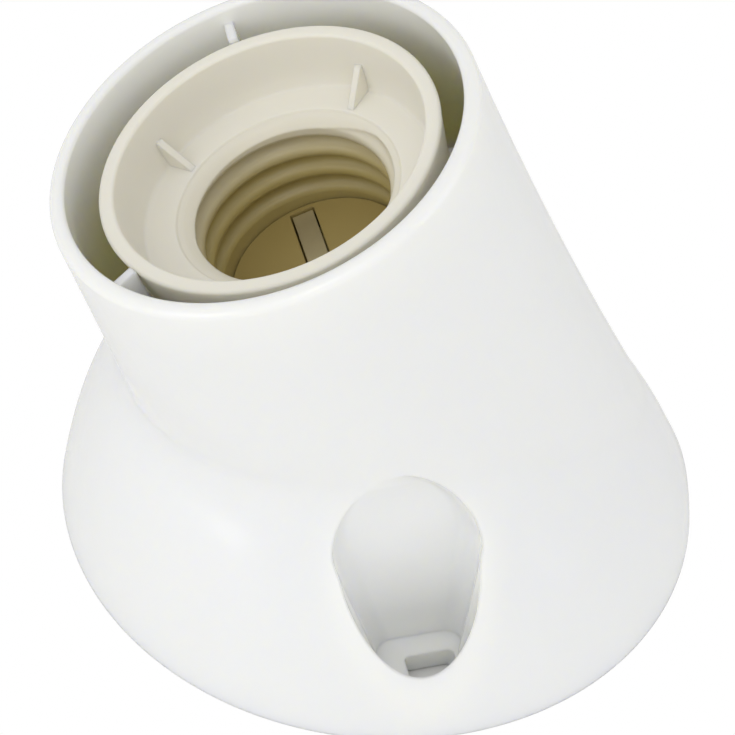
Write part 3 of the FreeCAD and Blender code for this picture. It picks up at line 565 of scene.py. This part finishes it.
def finish_shader(name, colour, roughness, scale, spread, bump, edge, bore_shading=None, **inputs):
    """Slightly uneven finish: two close colours and roughnesses, fine bump and soft edges, with
    optional painted shade and bounce light down a bore.
    """
    shader = Shader(name)
    coarse = object_noise(shader, scale)
    tint = shader.add("ShaderNodeMix", data_type="RGBA")
    tint.inputs["A"].default_value = (*[channel * (1 - spread) for channel in colour], 1)
    tint.inputs["B"].default_value = (*[min(channel * (1 + spread), 1) for channel in colour], 1)
    shader.link(coarse.outputs["Fac"], tint.inputs["Factor"])
    shown = tint.outputs["Result"]
    # Optional painted shade and bounce light down a bore, not a colour of the plastic
    if bore_shading:
        shown = painted_bore_shading(shader, shown, **bore_shading)
    shader.link(shown, shader.surface.inputs["Base Color"])
    rough = shader.add("ShaderNodeMapRange")
    rough.inputs["To Min"].default_value = roughness * 0.85
    rough.inputs["To Max"].default_value = roughness * 1.15
    shader.link(coarse.outputs["Fac"], rough.inputs["Value"])
    shader.link(rough.outputs["Result"], shader.surface.inputs["Roughness"])
    fine = object_noise(shader, scale * 14, 3.0)
    soft_edge = shader.add("ShaderNodeBevel", samples=3, Radius=edge)
    relief = shader.add("ShaderNodeBump", Strength=bump, Distance=0.0002)
    shader.link(fine.outputs["Fac"], relief.inputs["Height"])
    shader.link(soft_edge.outputs["Normal"], relief.inputs["Normal"])
    shader.link(relief.outputs["Normal"], shader.surface.inputs["Normal"])
    for key, value in inputs.items():
        shader.surface.inputs[key.replace("_", " ")].default_value = value
    return shader.material


def paint(obj, material):
    """Gives every material slot of an object the same material."""
    if not obj.data.materials:
        obj.data.materials.append(material)
    for index in range(len(obj.data.materials)):
        obj.data.materials[index] = material


# ---------------------------------------------------------------- pieces

# Housing: the warm yellow tint down its bore is painted bounce light in the gap around the insert
white = finish_shader(
    "white_gloss", (0.87, 0.872, 0.845), roughness=0.22, scale=60, spread=0.012, bump=0.05,
    edge=0.0005, bore_shading=dict(tint=(0.97, 0.93, 0.74), start=2, end=12, stop=22, inside=25.3),
    Coat_Weight=0.35, Coat_Roughness=0.12, Subsurface_Weight=0.5,
    Subsurface_Radius=(1.0, 0.9, 0.5), Subsurface_Scale=0.004)
# Insert: the dark olive tint down its bore is painted shade
ivory = finish_shader(
    "ivory_satin", (0.80, 0.775, 0.69), roughness=0.38, scale=70, spread=0.012, bump=0.08,
    edge=0.0003, bore_shading=dict(tint=(0.45, 0.37, 0.15), start=6, end=15, stop=26, inside=13.8),
    Subsurface_Weight=0.3, Subsurface_Radius=(1.0, 0.85, 0.4), Subsurface_Scale=0.0015)
# Contact carrier: the dark brown tint where it shows down the bore is painted shade
ivory_block = finish_shader(
    "ivory_block", (0.78, 0.73, 0.58), roughness=0.5, scale=70, spread=0.02, bump=0.1,
    edge=0.0002, bore_shading=dict(tint=(0.38, 0.29, 0.10), start=17, end=20, stop=26, inside=12.4))
strip_brass = finish_shader(
    "strip_brass", (0.60, 0.53, 0.33), roughness=0.38, scale=180, spread=0.05, bump=0.1,
    edge=0.0001, Metallic=0.6)
block_brass = finish_shader(
    "block_brass", (0.76, 0.60, 0.30), roughness=0.3, scale=160, spread=0.06, bump=0.1,
    edge=0.0002, Metallic=1.0)
zinc_steel = finish_shader(
    "zinc_steel", (0.66, 0.66, 0.66), roughness=0.32, scale=200, spread=0.06, bump=0.1,
    edge=0.0002, Metallic=1.0)

NODE_FINISH = {
    "housing": white, "thread_insert": ivory, "contact_carrier": ivory_block,
    "centre_contact": strip_brass, "shell_contact": strip_brass,
    "line_terminal": block_brass, "neutral_terminal": block_brass,
    "line_rivet": block_brass, "neutral_rivet": block_brass,
    "line_screw": zinc_steel, "neutral_screw": zinc_steel,
    "carrier_screw_a": zinc_steel, "carrier_screw_b": zinc_steel,
}
for node_name, finish in NODE_FINISH.items():
    paint(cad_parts[node_name], finish)

housing = build_housing()
paint(housing, white)
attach(housing, "holder")
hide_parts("housing")

insert_pieces = [build_insert()]
insert_pieces += [build_gusset(index) for index in range(4)]
insert_pieces += [build_lug(index) for index in range(2)]
for piece in insert_pieces:
    paint(piece, ivory)
    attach(piece, "holder")
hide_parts("thread_insert")


# ---------------------------------------------------------------- stage, light, camera


def white_floor():
    """Pale floor that the camera sees as plain white."""
    bpy.ops.mesh.primitive_plane_add(size=6, location=(0, 0, -0.0004))
    floor = bpy.context.object
    floor.name = "floor"
    shader = Shader("floor_white")
    noise = object_noise(shader, 3)
    tint = shader.add("ShaderNodeMix", data_type="RGBA")
    tint.inputs["A"].default_value = (0.84, 0.84, 0.83, 1)
    tint.inputs["B"].default_value = (0.88, 0.88, 0.87, 1)
    shader.link(noise.outputs["Fac"], tint.inputs["Factor"])
    shader.link(tint.outputs["Result"], shader.surface.inputs["Base Color"])
    shader.surface.inputs["Roughness"].default_value = 0.9
    seen = shader.add("ShaderNodeLightPath")
    white_seen = shader.add("ShaderNodeEmission", Strength=1.0)
    clear = shader.add("ShaderNodeBsdfTransparent")
    side = shader.add("ShaderNodeNewGeometry")
    place = shader.add("ShaderNodeTexCoord")
    away = shader.add("ShaderNodeVectorMath", operation="LENGTH")
    outside = shader.add("ShaderNodeMath", operation="GREATER_THAN")
    outside.inputs[1].default_value = (BASE_RADIUS - 0.5) * MM
    both = shader.add("ShaderNodeMath", operation="MULTIPLY")
    shader.link(place.outputs["Object"], away.inputs[0])
    shader.link(away.outputs["Value"], outside.inputs[0])
    shader.link(outside.outputs["Value"], both.inputs[0])
    shader.link(seen.outputs["Is Camera Ray"], both.inputs[1])
    camera_mix = shader.add("ShaderNodeMixShader")
    back_mix = shader.add("ShaderNodeMixShader")
    shader.link(both.outputs["Value"], camera_mix.inputs["Fac"])
    shader.link(shader.surface.outputs["BSDF"], camera_mix.inputs[1])
    shader.link(white_seen.outputs["Emission"], camera_mix.inputs[2])
    shader.link(side.outputs["Backfacing"], back_mix.inputs["Fac"])
    shader.link(camera_mix.outputs["Shader"], back_mix.inputs[1])
    shader.link(clear.outputs["BSDF"], back_mix.inputs[2])
    shader.link(back_mix.outputs["Shader"],
                shader.tree.nodes["Material Output"].inputs["Surface"])
    floor.data.materials.append(shader.material)


def area_light(name, place, target, size, power):
    """Square softbox aimed at a point of the object."""
    light = bpy.data.lights.new(name, "AREA")
    light.shape = "SQUARE"
    light.size = size
    light.energy = power
    obj = bpy.data.objects.new(name, light)
    obj.location = place
    aim = Vector(target) - Vector(place)
    obj.rotation_euler = aim.to_track_quat("-Z", "Y").to_euler()
    bpy.context.scene.collection.objects.link(obj)


def studio_world(low, high):
    """White surroundings: plain white to the camera, bright low down and dim overhead."""
    world = bpy.data.worlds.new("studio")
    world.use_nodes = True
    bpy.context.scene.world = world
    tree = world.node_tree
    back = tree.nodes["Background"]
    back.inputs["Color"].default_value = (1, 1, 1, 1)
    place = tree.nodes.new("ShaderNodeTexCoord")
    parts = tree.nodes.new("ShaderNodeSeparateXYZ")
    fade = tree.nodes.new("ShaderNodeMapRange")
    fade.interpolation_type = "SMOOTHSTEP"
    fade.inputs["From Min"].default_value = 0.35
    fade.inputs["From Max"].default_value = 0.9
    fade.inputs["To Min"].default_value = low
    fade.inputs["To Max"].default_value = high
    seen = tree.nodes.new("ShaderNodeLightPath")
    level = tree.nodes.new("ShaderNodeMix")
    level.inputs["B"].default_value = 1.0
    tree.links.new(place.outputs["Generated"], parts.inputs["Vector"])
    tree.links.new(parts.outputs["Z"], fade.inputs["Value"])
    tree.links.new(fade.outputs["Result"], level.inputs["A"])
    tree.links.new(seen.outputs["Is Camera Ray"], level.inputs["Factor"])
    tree.links.new(level.outputs["Result"], back.inputs["Strength"])


def photo_camera():
    """Camera at the photo's angle, from its azimuth, elevation and roll."""
    azimuth = math.radians(CAMERA_AZIMUTH)
    elevation = math.radians(CAMERA_ELEVATION)
    roll = math.radians(CAMERA_ROLL)
    back = Vector((math.sin(azimuth) * math.cos(elevation),
                   -math.cos(azimuth) * math.cos(elevation), math.sin(elevation)))
    level = Vector((math.cos(azimuth), math.sin(azimuth), 0))
    upright = back.cross(level)
    right = level * math.cos(roll) + upright * math.sin(roll)
    up = upright * math.cos(roll) - level * math.sin(roll)
    place = (right * CAMERA_RIGHT + up * CAMERA_UP + back * CAMERA_BACK) * MM
    data = bpy.data.cameras.new("photo_camera")
    data.sensor_width = CAMERA_SENSOR
    data.lens = CAMERA_LENS
    data.clip_start = 0.01
    camera = bpy.data.objects.new("photo_camera", data)
    camera.matrix_world = Matrix((
        (right.x, up.x, back.x, place.x), (right.y, up.y, back.y, place.y),
        (right.z, up.z, back.z, place.z), (0, 0, 0, 1)))
    bpy.context.scene.collection.objects.link(camera)
    bpy.context.scene.camera = camera


white_floor()
studio_world(0.76, 0.74)
middle = (-0.01, 0, 0.03)
area_light("left_softbox", (-0.8, -0.3, 0.3), middle, 0.5, 1.2)
area_light("front_softbox", (-0.1, -0.9, 0.28), middle, 0.6, 0.4)
area_light("top_softbox", (-0.3, -0.45, 0.85), middle, 0.5, 1.5)
area_light("right_softbox", (0.75, -0.35, 0.35), middle, 0.5, 0.8)
photo_camera()
scene = bpy.context.scene
scene.view_settings.view_transform = "Standard"
